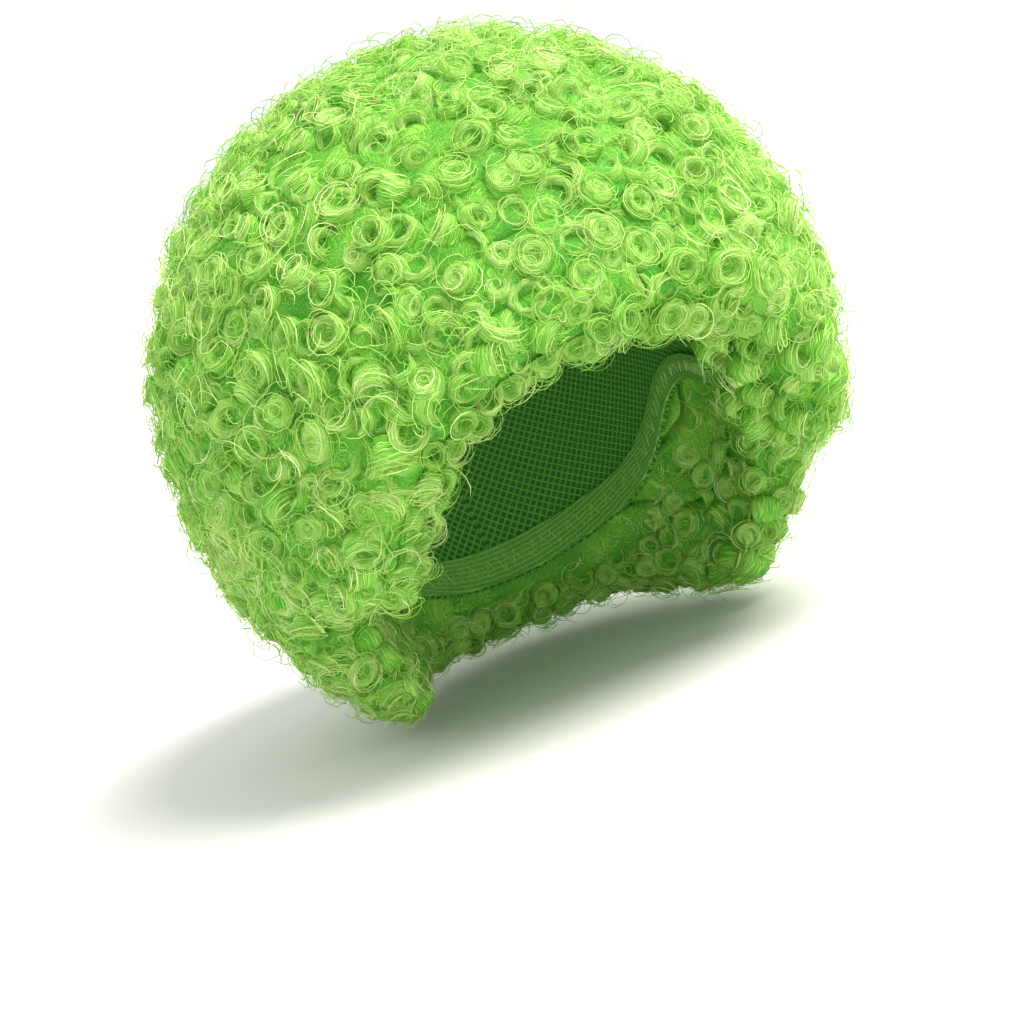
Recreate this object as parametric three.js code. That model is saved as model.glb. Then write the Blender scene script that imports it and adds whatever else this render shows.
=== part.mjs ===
// A round, tightly curled clown wig in its worn shape: a stretch cap with an elastic edge,
// covered by rings of curled hair, each ring sewn to the cap as one weft.
// Millimetres, +Z up, open towards -Y at the front, origin at the top of the cap, on its inside.
import * as THREE from "three";
import { mergeVertices } from "three/addons/utils/BufferGeometryUtils.js";

const { degToRad, radToDeg, lerp, clamp, seededRandom } = THREE.MathUtils;

// Room inside the cap
const headWidth = 154;
const headLength = 196;
const crownHeight = 85; // from the widest level of that room up to its top
const napeReach = 130; // how far below that level its form would close

// Cap and its elastic edge
const capWall = 1.5;
const bandWall = 1.2;
const bandWidth = 14;
const sewingGap = 0.35; // left between neighbouring pieces

// Depth of the hair over the cap, in each direction
const hairTop = 52.5;
const hairSide = 61;
const hairFront = 45;
const hairBack = 54;
const hairBelow = 23;
const edgeDepth = 13; // of the thin hair along the hairline
const sideRoom = 20; // how far the hair stands off where it hangs past the cap

// Curls
const curlPitch = 22; // from one curl to the next along a weft
const curlRidge = 7.6; // radius of a curl's raised ring
const curlRidgeShare = 0.36; // its most, as a share of the curl's own width and height
const curlRise = 10; // of the ring over the valley where three curls meet
const valleyShare = 0.5; // of that rise, where only two curls meet
const thinRiseShare = 0.25; // of that rise, where the hair is thinnest
const curlHollow = 4.5; // of the curl's centre below its ring
const curlUnevenness = 3.2; // most by which one curl stands lower than the next
const borderShift = 0.12; // most by which a border between curls strays, in curl widths
const centreShift = 0.07; // most by which a curl's centre strays, in curl widths

// The wefts run round a pole that leans back from the vertical, at the crown's whorl
const poleLean = 31; // degrees
const weftRings = 12; // between the whorl and the hairline
const whorlCurls = 5;
const hairlinePull = 1.5; // how late the wefts, going down, take the hairline's shape
const lipAngle = 9; // degrees of the hair's rounded lower lip
const flareAngle = 22; // degrees past the cap's edge over which the hair comes to stand off

// Fineness of the cap and of the lines that the wefts follow
const capAzimuths = 40;
const capRows = 7;
const edgeSamples = 240;
const lengthSamples = 400;
const weldDistance = 1e-4;
const leastArea = 1e-6;
const nearlyNothing = 1e-9;

// The first point of a curl's ring lies down and back along the weft; the others follow it round.
const ridgeTurns = [210, 270, 330, 30, 90, 150]; // degrees
const seedsPerWeft = 1000;
const seedsPerCurl = 10;

// Hairline and cap edge, measured at the pole: azimuth from the front, then the angle down from
// the pole, all in degrees, along the left half. The right half mirrors it.
const hairline = [
  { azimuth: 0, hairEdge: 117, capEdge: 112 }, // front, in the middle
  { azimuth: 25, hairEdge: 119, capEdge: 113 },
  { azimuth: 45, hairEdge: 125, capEdge: 118 }, // corner of the front
  { azimuth: 60, hairEdge: 132, capEdge: 123 },
  { azimuth: 71, hairEdge: 135, capEdge: 123 }, // front tip of the side
  { azimuth: 82, hairEdge: 131, capEdge: 118 },
  { azimuth: 92, hairEdge: 128, capEdge: 112 }, // side notch, where the cap rises
  { azimuth: 102, hairEdge: 130, capEdge: 108 },
  { azimuth: 113, hairEdge: 137, capEdge: 108 },
  { azimuth: 126, hairEdge: 139, capEdge: 113 }, // lobe behind the notch
  { azimuth: 140, hairEdge: 132, capEdge: 116 },
  { azimuth: 160, hairEdge: 121, capEdge: 114 },
  { azimuth: 180, hairEdge: 118, capEdge: 113 }, // nape
];

const headCentre = new THREE.Vector3(0, 0, -crownHeight);
const lean = degToRad(poleLean);
const pole = new THREE.Vector3(0, Math.sin(lean), Math.cos(lean));
const front = new THREE.Vector3(0, -Math.cos(lean), Math.sin(lean));
const side = new THREE.Vector3(1, 0, 0);

const headForm = {
  side: headWidth / 2,
  front: headLength / 2,
  back: headLength / 2,
  up: crownHeight,
  down: napeReach,
};
const hairForm = {
  side: headForm.side + capWall + hairSide,
  front: headForm.front + capWall + hairFront,
  back: headForm.back + capWall + hairBack,
  up: headForm.up + capWall + hairTop,
  down: headForm.down + capWall + hairBelow,
};

// A smooth line through one column of the hairline table, as a function of azimuth in radians.
function edgeLine(column) {
  const point = (azimuth, row) => new THREE.Vector2(azimuth, row[column]);
  const [besideFront, besideNape] = [hairline[1], hairline.at(-2)];
  const curve = new THREE.SplineCurve([
    point(-besideFront.azimuth, besideFront),
    ...hairline.map((row) => point(row.azimuth, row)),
    point(360 - besideNape.azimuth, besideNape),
  ]);
  const samples = curve.getPoints(edgeSamples);
  return (azimuth) => {
    const turn = Math.abs(radToDeg(Math.atan2(Math.sin(azimuth), Math.cos(azimuth))));
    const next = samples.findIndex((sample) => sample.x > turn);
    const [a, b] = [samples[next - 1], samples[next]];
    return degToRad(lerp(a.y, b.y, (turn - a.x) / (b.x - a.x)));
  };
}
const hairEdge = edgeLine("hairEdge");
const capEdge = edgeLine("capEdge");

function direction(polar, azimuth) {
  return pole
    .clone()
    .multiplyScalar(Math.cos(polar))
    .addScaledVector(side, Math.sin(polar) * Math.sin(azimuth))
    .addScaledVector(front, Math.sin(polar) * Math.cos(azimuth));
}

function place(polar, azimuth, radius) {
  return direction(polar, azimuth).multiplyScalar(radius).add(headCentre);
}

// Distance from the room's centre to a rounded form in a direction.
function reach(form, polar, azimuth) {
  const d = direction(polar, azimuth);
  const depth = d.y < 0 ? form.front : form.back;
  const height = d.z > 0 ? form.up : form.down;
  return 1 / Math.hypot(d.x / form.side, d.y / depth, d.z / height);
}

// Past the cap's edge the hair stands off, further the lower it hangs.
function standOff(polar, azimuth) {
  return sideRoom * clamp((polar - capEdge(azimuth)) / degToRad(flareAngle), 0, 1);
}

// Outer level of the curls: full depth over the crown, rounded off towards the hairline.
function hairReach(polar, azimuth) {
  const base = reach(headForm, polar, azimuth) + capWall + standOff(polar, azimuth);
  const full = Math.max(reach(hairForm, polar, azimuth) - base, edgeDepth);
  const share = clamp((hairEdge(azimuth) - polar) / degToRad(lipAngle), 0, 1);
  return base + lerp(edgeDepth, full, Math.sqrt(1 - (1 - share) ** 2));
}

function hairUnderside(polar, azimuth, clearance) {
  return reach(headForm, polar, azimuth) + capWall + clearance + standOff(polar, azimuth);
}

// How far the middle of a straight facet lies inside the arc that it spans.
const chordSag = (radius, halfAngle) => radius * (1 - Math.cos(halfAngle));

function geometryOf(triangles) {
  const geometry = new THREE.BufferGeometry();
  geometry.setFromPoints(triangles.flat());
  return mergeVertices(geometry, weldDistance);
}

// A closed wall between an inner and an outer level, over rows of angles from the pole.
function wallTriangles(rowsAt, innerAt, outerAt, closedAtPole) {
  const triangles = [];
  const quad = (a, b, c, d) => triangles.push([a, b, c], [a, c, d]);
  const at = (level, row, i) => {
    const azimuth = ((i % capAzimuths) / capAzimuths) * 2 * Math.PI;
    const polar = rowsAt(azimuth)[row];
    return place(polar, azimuth, level(polar, azimuth));
  };
  const last = rowsAt(0).length - 1;
  for (let i = 0; i < capAzimuths; i++) {
    const outer = (row) => [at(outerAt, row, i), at(outerAt, row, i + 1)];
    const inner = (row) => [at(innerAt, row, i), at(innerAt, row, i + 1)];
    for (let row = 0; row < last; row++) {
      const [outerHere, outerBelow] = [outer(row), outer(row + 1)];
      const [innerHere, innerBelow] = [inner(row), inner(row + 1)];
      if (closedAtPole && row === 0) {
        triangles.push([outerHere[0], ...outerBelow], [innerHere[0], innerBelow[1], innerBelow[0]]);
      } else {
        quad(outerHere[0], outerBelow[0], outerBelow[1], outerHere[1]);
        quad(innerHere[0], innerHere[1], innerBelow[1], innerBelow[0]);
      }
    }
    quad(outer(last)[0], inner(last)[0], inner(last)[1], outer(last)[1]);
    if (!closedAtPole) quad(outer(0)[0], outer(0)[1], inner(0)[1], inner(0)[0]);
  }
  return triangles;
}

const bandAngle = bandWidth / (headLength / 2);
const bandRows = (azimuth) => [1, 0.5, 0].map((share) => capEdge(azimuth) - share * bandAngle);

function capGeometry() {
  const rowsAt = (azimuth) => {
    const bandTop = capEdge(azimuth) - bandAngle;
    const above = Array.from({ length: capRows }, (_, row) => (row / capRows) * bandTop);
    return [...above, ...bandRows(azimuth)];
  };
  const inner = (polar, azimuth) => reach(headForm, polar, azimuth);
  const outer = (polar, azimuth) => inner(polar, azimuth) + capWall;
  return geometryOf(wallTriangles(rowsAt, inner, outer, true));
}

function bandGeometry() {
  const outer = (polar, azimuth) => reach(headForm, polar, azimuth) - sewingGap;
  const inner = (polar, azimuth) => outer(polar, azimuth) - bandWall;
  return geometryOf(wallTriangles(bandRows, inner, outer, false));
}

// Shares of the hairline's angle at which the wefts meet, equally far apart at the side.
function weftShares() {
  const sideways = Math.PI / 2;
  const points = Array.from({ length: lengthSamples + 1 }, (_, i) => {
    const polar = (i / lengthSamples) * hairEdge(sideways);
    return place(polar, sideways, hairReach(polar, sideways));
  });
  const lengths = [0];
  points.slice(1).forEach((point, i) => lengths.push(lengths[i] + point.distanceTo(points[i])));
  const weftLength = lengths[lengthSamples] / (weftRings + 1);
  const meeting = (boundary) => {
    const passed = (length) => length >= boundary * weftLength - nearlyNothing;
    return lengths.findIndex(passed) / lengthSamples;
  };
  const boundaries = Array.from({ length: weftRings + 1 }, (_, boundary) => meeting(boundary));
  return [...boundaries, 1];
}
const shares = weftShares();

function curlsIn(ring) {
  if (ring === 0) return whorlCurls;
  const polar = ((shares[ring] + shares[ring + 1]) / 2) * hairEdge(Math.PI / 2);
  const around = 2 * Math.PI * Math.sin(polar) * hairReach(polar, Math.PI / 2);
  return Math.round(around / curlPitch);
}
const curlCounts = Array.from({ length: weftRings + 1 }, (_, ring) => curlsIn(ring));
const widestCurl = (ring) => ((2 * Math.PI) / curlCounts[ring]) * (1 + 2 * borderShift);

// The angle at a boundary between wefts, which takes the hairline's shape as it nears it.
function boundaryAngle(boundary, azimuth) {
  const level = hairEdge(Math.PI / 2);
  const share = shares[boundary];
  return share * level + share ** hairlinePull * (hairEdge(azimuth) - level);
}

// How far a straight run of one ring, as wide as its widest curl, passes the boundary at an azimuth,
// down (+1) or up (-1), as an angle at the room's centre.
function boundaryBow(ring, boundary, way, azimuth) {
  const half = widestCurl(ring) / 2;
  const corner = (turn) => direction(boundaryAngle(boundary, turn), turn);
  const middle = corner(azimuth - half).add(corner(azimuth + half));
  return Math.max(0, way * (middle.angleTo(pole) - boundaryAngle(boundary, azimuth)));
}

// A steady random number from -1 to 1 for one quality of one curl.
function vary(ring, curl, quality) {
  return seededRandom(seedsPerWeft * ring + seedsPerCurl * curl + quality) * 2 - 1;
}

// One weft: a ring of hair from the cap outwards, its outer face raised into a row of curls.
function weftGeometry(ring) {
  const triangles = [];
  const count = curlCounts[ring];
  const step = (2 * Math.PI) / count;
  const stagger = ring % 2 ? 0.5 : 0;
  const inset = (boundary, azimuth) => {
    if (boundary === 0 || boundary > weftRings) return 0;
    const bowAbove = boundaryBow(boundary - 1, boundary, 1, azimuth);
    const bowBelow = boundaryBow(boundary, boundary, -1, azimuth);
    return (sewingGap / crownHeight + bowAbove + bowBelow) / 2;
  };
  const polarAt = (share, azimuth) => {
    const top = boundaryAngle(ring, azimuth) + inset(ring, azimuth);
    const bottom = boundaryAngle(ring + 1, azimuth) - inset(ring + 1, azimuth);
    return lerp(top, bottom, share);
  };
  const heightAt = (azimuth) => polarAt(1, azimuth) - polarAt(0, azimuth);
  const most = (measure) => Math.max(...hairline.map((row) => measure(degToRad(row.azimuth))));
  const ringRadius = most((azimuth) => {
    const polar = polarAt(0.5, azimuth);
    return reach(headForm, polar, azimuth) * Math.sin(polar);
  });
  const sag = chordSag(ringRadius, widestCurl(ring) / 2) + chordSag(napeReach, most(heightAt) / 2);
  const clearance = sewingGap + sag;

  // A point on the curls' outer level, sunk by a depth that shrinks where the hair is thin.
  const outer = (polar, azimuth, sunk) => {
    const level = hairReach(polar, azimuth);
    const under = hairUnderside(polar, azimuth, clearance);
    const thin = clamp((level - under) / (2 * curlRise), thinRiseShare, 1);
    return place(polar, azimuth, level - sunk * thin);
  };
  const inner = (polar, azimuth) => place(polar, azimuth, hairUnderside(polar, azimuth, clearance));
  const border = (i) => (i + stagger + borderShift * vary(ring, i % count, 0)) * step;

  for (let i = 0; i < count; i++) {
    const from = border(i);
    const to = i + 1 < count ? border(i + 1) : border(0) + 2 * Math.PI;
    const across = [
      { azimuth: from, sunk: curlRise },
      { azimuth: (from + to) / 2, sunk: curlRise * valleyShare },
      { azimuth: to, sunk: curlRise },
    ];
    const tops = across.map(({ azimuth, sunk }) => outer(polarAt(0, azimuth), azimuth, sunk));
    const bottoms = across.map(({ azimuth, sunk }) => outer(polarAt(1, azimuth), azimuth, sunk));
    const innerTops = [from, to].map((azimuth) => inner(polarAt(0, azimuth), azimuth));
    const innerBottoms = [from, to].map((azimuth) => inner(polarAt(1, azimuth), azimuth));

    // The curl's raised ring round a hollow that is a little off the middle
    const azimuth = lerp(from, to, 0.5 + centreShift * vary(ring, i, 1));
    const polar = polarAt(0.5 + centreShift * vary(ring, i, 2), azimuth);
    const lower = curlUnevenness * (0.5 + 0.5 * vary(ring, i, 3));
    const level = hairReach(polar, azimuth);
    const tall = Math.min(curlRidge / level, curlRidgeShare * heightAt(azimuth));
    const wide = Math.min(curlRidge / (level * Math.sin(polar)), curlRidgeShare * (to - from));
    const ridge = ridgeTurns.map((turn) => {
      const [along, up] = [Math.cos(degToRad(turn)), Math.sin(degToRad(turn))];
      return outer(polar - tall * up, azimuth + wide * along, lower);
    });
    const hollow = outer(polar, azimuth, lower + curlHollow);
    const upperOutline = ring === 0 ? [tops[1], tops[1], tops[1]] : [tops[2], tops[1], tops[0]];
    const outline = [...bottoms, ...upperOutline];
    ridge.forEach((point, k) => {
      const next = (k + 1) % ridge.length;
      triangles.push([point, ridge[next], hollow]);
      triangles.push([outline[k], outline[next], ridge[next]]);
      triangles.push([outline[k], ridge[next], point]);
    });

    // Faces against the next weft and against the cap
    const [bottomLeft, bottomMiddle, bottomRight] = bottoms;
    triangles.push([bottomLeft, innerBottoms[0], bottomMiddle]);
    triangles.push([bottomMiddle, ...innerBottoms]);
    triangles.push([bottomMiddle, innerBottoms[1], bottomRight]);
    triangles.push([innerTops[0], innerBottoms[1], innerBottoms[0]]);
    if (ring > 0) {
      triangles.push([tops[0], tops[1], innerTops[0]]);
      triangles.push([tops[1], innerTops[1], innerTops[0]]);
      triangles.push([tops[1], tops[2], innerTops[1]]);
      triangles.push([...innerTops, innerBottoms[1]]);
    }
  }
  const area = ([a, b, c]) => new THREE.Triangle(a, b, c).getArea();
  return geometryOf(triangles.filter((triangle) => area(triangle) > leastArea));
}

const hairFibre = new THREE.MeshStandardMaterial({ color: 0x6fd030, roughness: 0.55 });
const capNet = new THREE.MeshStandardMaterial({ color: 0x3f8f2c, roughness: 0.85 });
const elastic = new THREE.MeshStandardMaterial({ color: 0x57a83c, roughness: 0.8 });

function piece(name, geometry, material) {
  const mesh = new THREE.Mesh(geometry, material);
  mesh.name = name;
  return mesh;
}

const wig = new THREE.Group();
const base = new THREE.Group();
base.add(piece("cap", capGeometry(), capNet), piece("elastic_band", bandGeometry(), elastic));
const hair = new THREE.Group();
hair.add(piece("crown_whorl", weftGeometry(0), hairFibre));
for (let ring = 1; ring <= weftRings; ring++) {
  const name = ring === weftRings ? "hairline_weft" : `weft_${String(ring).padStart(2, "0")}`;
  hair.add(piece(name, weftGeometry(ring), hairFibre));
}
wig.add(base, hair);

export default wig;
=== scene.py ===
import math

import bpy
import numpy as np
from mathutils import Matrix, Vector


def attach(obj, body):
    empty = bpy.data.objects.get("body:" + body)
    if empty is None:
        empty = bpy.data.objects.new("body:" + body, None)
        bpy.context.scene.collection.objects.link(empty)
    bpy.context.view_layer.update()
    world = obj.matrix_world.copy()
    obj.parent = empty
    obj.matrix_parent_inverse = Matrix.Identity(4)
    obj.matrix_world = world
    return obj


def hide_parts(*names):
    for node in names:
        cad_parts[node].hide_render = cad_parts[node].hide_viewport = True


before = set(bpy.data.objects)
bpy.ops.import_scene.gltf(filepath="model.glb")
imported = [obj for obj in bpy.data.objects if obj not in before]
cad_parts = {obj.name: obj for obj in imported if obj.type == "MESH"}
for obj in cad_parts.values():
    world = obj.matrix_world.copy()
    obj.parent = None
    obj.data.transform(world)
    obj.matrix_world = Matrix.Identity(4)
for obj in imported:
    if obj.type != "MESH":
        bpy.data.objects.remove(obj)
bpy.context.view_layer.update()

bpy.ops.object.select_all(action="DESELECT")
scene = bpy.context.scene
scene.view_settings.view_transform = "Standard"

# Camera, rolled so that the wig leans to the picture's left
ROOM_CENTRE = np.array([0.0, 0.0, -0.085])
CAMERA_AZIMUTH = math.radians(-20)
CAMERA_HEIGHT = math.radians(6)
CAMERA_ROLL = math.radians(18)
CAMERA_DISTANCE = 1.0
CAMERA_LENS = 87.9
SENSOR_WIDTH = 36.0
CENTRE_LEFT_OF_MIDDLE = 0.0064
CENTRE_ABOVE_MIDDLE = 0.0556


def bearing(azimuth, height):
    """Direction out from the wig, for an azimuth from its front and a height."""
    return Vector((
        math.sin(azimuth) * math.cos(height),
        -math.cos(azimuth) * math.cos(height),
        math.sin(height),
    ))


def place_camera():
    out = bearing(CAMERA_AZIMUTH, CAMERA_HEIGHT)
    level = Vector((math.cos(CAMERA_AZIMUTH), math.sin(CAMERA_AZIMUTH), 0))
    upright = out.cross(level)
    across = level * math.cos(CAMERA_ROLL) - upright * math.sin(CAMERA_ROLL)
    above = level * math.sin(CAMERA_ROLL) + upright * math.cos(CAMERA_ROLL)
    centre = Vector(ROOM_CENTRE)
    place = centre + out * CAMERA_DISTANCE
    target = centre + across * CENTRE_LEFT_OF_MIDDLE - above * CENTRE_ABOVE_MIDDLE
    back = (place - target).normalized()
    across = above.cross(back).normalized()
    above = back.cross(across)
    data = bpy.data.cameras.new("camera")
    data.lens = CAMERA_LENS
    data.sensor_width = SENSOR_WIDTH
    camera = bpy.data.objects.new("camera", data)
    scene.collection.objects.link(camera)
    turn = Matrix((across, above, back)).transposed().to_4x4()
    camera.matrix_world = Matrix.Translation(place) @ turn
    scene.camera = camera


place_camera()

# The wig's form, as in its solids, in metres
ROOM_WIDTH = 0.154
ROOM_LENGTH = 0.196
CROWN_HEIGHT = 0.085
NAPE_REACH = 0.130
CAP_WALL = 0.0015
BAND_WALL = 0.0012
BAND_WIDTH = 0.014
SEWING_GAP = 0.00035
HAIR_TOP = 0.0525
HAIR_SIDE = 0.061
HAIR_FRONT = 0.045
HAIR_BACK = 0.054
HAIR_BELOW = 0.023
EDGE_DEPTH = 0.013
SIDE_ROOM = 0.020
POLE_LEAN = math.radians(31)
WEFT_RINGS = 12
HAIRLINE_PULL = 1.5
LIP_ANGLE = math.radians(9)
FLARE_ANGLE = math.radians(22)

# Azimuth from the front, then the angles down from the pole to the hair's and the cap's edge
HAIRLINE = np.array([
    (0, 117, 112),
    (25, 119, 113),
    (45, 125, 118),
    (60, 132, 123),
    (71, 135, 123),
    (82, 131, 118),
    (92, 128, 112),
    (102, 130, 108),
    (113, 137, 108),
    (126, 139, 113),
    (140, 132, 116),
    (160, 121, 114),
    (180, 118, 113),
], dtype=float)

# Fineness of the lines and the surface that the hair is laid on
SAMPLES_PER_SPAN = 20
LENGTH_SAMPLES = 401
SURFACE_AZIMUTHS = 181
OUTER_ROWS = 60
LIP_ROWS = 14
EDGE_SHARES = (0.33, 0.67)
UNDERSIDE_ROWS = 14
FIRST_SHARE = 0.002  # of the way from the pole, where the outer rows start

POLE = np.array([0.0, math.sin(POLE_LEAN), math.cos(POLE_LEAN)])
FRONT = np.array([0.0, -math.cos(POLE_LEAN), math.sin(POLE_LEAN)])
SIDE = np.array([1.0, 0.0, 0.0])

INNER_FORM = {
    "side": ROOM_WIDTH / 2,
    "front": ROOM_LENGTH / 2,
    "back": ROOM_LENGTH / 2,
    "up": CROWN_HEIGHT,
    "down": NAPE_REACH,
}
HAIR_FORM = {
    "side": INNER_FORM["side"] + CAP_WALL + HAIR_SIDE,
    "front": INNER_FORM["front"] + CAP_WALL + HAIR_FRONT,
    "back": INNER_FORM["back"] + CAP_WALL + HAIR_BACK,
    "up": INNER_FORM["up"] + CAP_WALL + HAIR_TOP,
    "down": INNER_FORM["down"] + CAP_WALL + HAIR_BELOW,
}


def edge_line(column):
    """A smooth line through one column of the hairline table, as a function of azimuth."""
    x = np.concatenate([[-HAIRLINE[1, 0]], HAIRLINE[:, 0], [360 - HAIRLINE[-2, 0]]])
    y = np.concatenate([[HAIRLINE[1, column]], HAIRLINE[:, column], [HAIRLINE[-2, column]]])
    samples = []
    for p in zip(zip(x, y), zip(x[1:], y[1:]), zip(x[2:], y[2:]), zip(x[3:], y[3:])):
        p0, p1, p2, p3 = (np.array(q) for q in p)
        v0, v1 = (p2 - p0) / 2, (p3 - p1) / 2
        for t in np.linspace(0, 1, SAMPLES_PER_SPAN, endpoint=False):
            curve = (2 * p1 - 2 * p2 + v0 + v1) * t**3
            samples.append(curve + (3 * p2 - 3 * p1 - 2 * v0 - v1) * t**2 + v0 * t + p1)
    samples.append(np.array([180.0, HAIRLINE[-1, column]]))
    table = np.array(samples)

    def line(azimuth):
        turn = np.degrees(np.abs(np.arctan2(np.sin(azimuth), np.cos(azimuth))))
        return np.radians(np.interp(turn, table[:, 0], table[:, 1]))

    return line


hair_edge = edge_line(1)
cap_edge = edge_line(2)


def direction(polar, azimuth):
    polar, azimuth = np.broadcast_arrays(polar, azimuth)
    along = np.cos(polar)[..., None] * POLE
    across = (np.sin(polar) * np.sin(azimuth))[..., None] * SIDE
    ahead = (np.sin(polar) * np.cos(azimuth))[..., None] * FRONT
    return along + across + ahead


def place(polar, azimuth, radius):
    return ROOM_CENTRE + direction(polar, azimuth) * np.asarray(radius)[..., None]


def reach(form, polar, azimuth):
    """Distance from the inner form's centre to a rounded form in a direction."""
    d = direction(polar, azimuth)
    depth = np.where(d[..., 1] < 0, form["front"], form["back"])
    height = np.where(d[..., 2] > 0, form["up"], form["down"])
    return 1 / np.sqrt(
        (d[..., 0] / form["side"]) ** 2 + (d[..., 1] / depth) ** 2 + (d[..., 2] / height) ** 2
    )


def stand_off(polar, azimuth):
    """Past the cap's edge the hair stands off, further the lower it hangs."""
    return SIDE_ROOM * np.clip((polar - cap_edge(azimuth)) / FLARE_ANGLE, 0, 1)


def hair_reach(polar, azimuth):
    """Outer level of the curls: full depth over the cap, rounded off towards the hairline."""
    base = reach(INNER_FORM, polar, azimuth) + CAP_WALL + stand_off(polar, azimuth)
    full = np.maximum(reach(HAIR_FORM, polar, azimuth) - base, EDGE_DEPTH)
    share = np.clip((hair_edge(azimuth) - polar) / LIP_ANGLE, 0, 1)
    return base + EDGE_DEPTH + (full - EDGE_DEPTH) * np.sqrt(1 - (1 - share) ** 2)


def hair_underside(polar, azimuth):
    return reach(INNER_FORM, polar, azimuth) + CAP_WALL + SEWING_GAP + stand_off(polar, azimuth)


def weft_shares():
    """Shares of the hairline's angle at which the wefts meet, equally far apart at the side."""
    sideways = math.pi / 2
    steps = np.linspace(0, 1, LENGTH_SAMPLES)
    polar = steps * hair_edge(sideways)
    points = place(polar, sideways, hair_reach(polar, sideways))
    lengths = np.concatenate([[0], np.cumsum(np.linalg.norm(np.diff(points, axis=0), axis=1))])
    wanted = np.arange(WEFT_RINGS + 2) / (WEFT_RINGS + 1) * lengths[-1]
    return np.interp(wanted, lengths, steps)


SHARES = weft_shares()


def boundary_angle(boundary, azimuth):
    level = hair_edge(math.pi / 2)
    share = SHARES[boundary]
    return share * level + share**HAIRLINE_PULL * (hair_edge(azimuth) - level)


def weft_of(polar, azimuth):
    """Number of the weft, from the crown down, that a place on the hair belongs to."""
    number = np.zeros(np.shape(polar), dtype=int)
    for boundary in range(1, WEFT_RINGS + 1):
        number += polar > boundary_angle(boundary, azimuth)
    return number


WEFT_NODES = ["crown_whorl"] + [f"weft_{ring:02d}" for ring in range(1, WEFT_RINGS)]
WEFT_NODES.append("hairline_weft")

# Curls: those at the front, a second lot that fills in below and between them, and frizz
FRONT_SPACING = 0.0152
FILL_SPACING = 0.0104
FILL_FROM_FRONT = 0.0088
LIP_SPACING = 0.0118
UNDERSIDE_SPACING = 0.0096
FRIZZ_SPACING = 0.0060
CANDIDATES = 24000
BATCH = 400
CURL_RADIUS = (0.0064, 0.0092)
LIP_RADIUS_SHARE = 0.90
LIP_TURNED = 1.3
LIP_TURNED_FROM = 0.07
LIP_OVERHANG = 0.0022
FRONT_SUNK = (0.0002, 0.0036)
FILL_SUNK = (0.0030, 0.0060)
UNDERSIDE_SUNK = (0.0002, 0.0018)
FILL_RADIUS = (0.0068, 0.0096)
LIP_ROW = OUTER_ROWS + 6
UNDERSIDE_ROW = OUTER_ROWS + LIP_ROWS + 1
SHADE_SPREAD = 0.07
SEED = 41

# Kinds of curl: the share of the curls up to each kind, then its range
LEANS = ((0.62, 2, 26), (0.93, 26, 46), (1.0, 46, 66))  # degrees from the surface
FULLNESSES = ((0.5, 0, 0.3), (0.8, 0.3, 0.75), (1.0, 0.75, 1))
LIP_LEAN_SHARE = 0.7

# How far a curl that lies over is sunk, as a share of what its rim would stand up
UNDERSIDE_LEAN_SUNK = 0.3
FRONT_LEAN_SUNK = 0.66
FILL_LEAN_SUNK = 0.40

STEEP = 0.9
NEARLY_NOTHING = 1e-9
random = np.random.default_rng(SEED)


def unit(v):
    return v / np.linalg.norm(v, axis=-1, keepdims=True)


def hair_surface():
    """Grid over the hair's outer side, round its lip and up its underside to the cap."""
    azimuth = np.linspace(0, 2 * math.pi, SURFACE_AZIMUTHS)
    edge, cap = hair_edge(azimuth), cap_edge(azimuth)
    rows = []
    for share in np.linspace(FIRST_SHARE, 1, OUTER_ROWS, endpoint=False):
        polar = share * (edge - LIP_ANGLE)
        rows.append((polar, hair_reach(polar, azimuth)))
    for turn in np.linspace(math.pi / 2, 0, LIP_ROWS):
        polar = edge - LIP_ANGLE * (1 - math.cos(turn))
        rows.append((polar, hair_reach(polar, azimuth)))
    outer, inner = hair_reach(edge, azimuth), hair_underside(edge, azimuth)
    for share in EDGE_SHARES:
        rows.append((edge, outer + (inner - outer) * share))
    for share in np.linspace(0, 1, UNDERSIDE_ROWS):
        polar = edge + (cap - edge) * share
        rows.append((polar, hair_underside(polar, azimuth)))
    polar = np.array([row[0] for row in rows])
    radius = np.array([row[1] for row in rows])
    points = place(polar, azimuth[None, :], radius)
    normals = unit(np.cross(np.gradient(points, axis=0), np.gradient(points, axis=1)))
    row_numbers = np.arange(len(rows))[:, None] * np.ones(len(azimuth))
    return points, normals, polar, azimuth[None, :] * np.ones_like(polar), row_numbers


def clear_of(spots, others, apart):
    """Whether each spot is at least its own distance from all the others."""
    if not len(others):
        return np.ones(len(spots), dtype=bool)
    square = (spots**2).sum(axis=1)[:, None] + (others**2).sum(axis=1) - 2 * spots @ others.T
    return square.min(axis=1) >= apart**2


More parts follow.
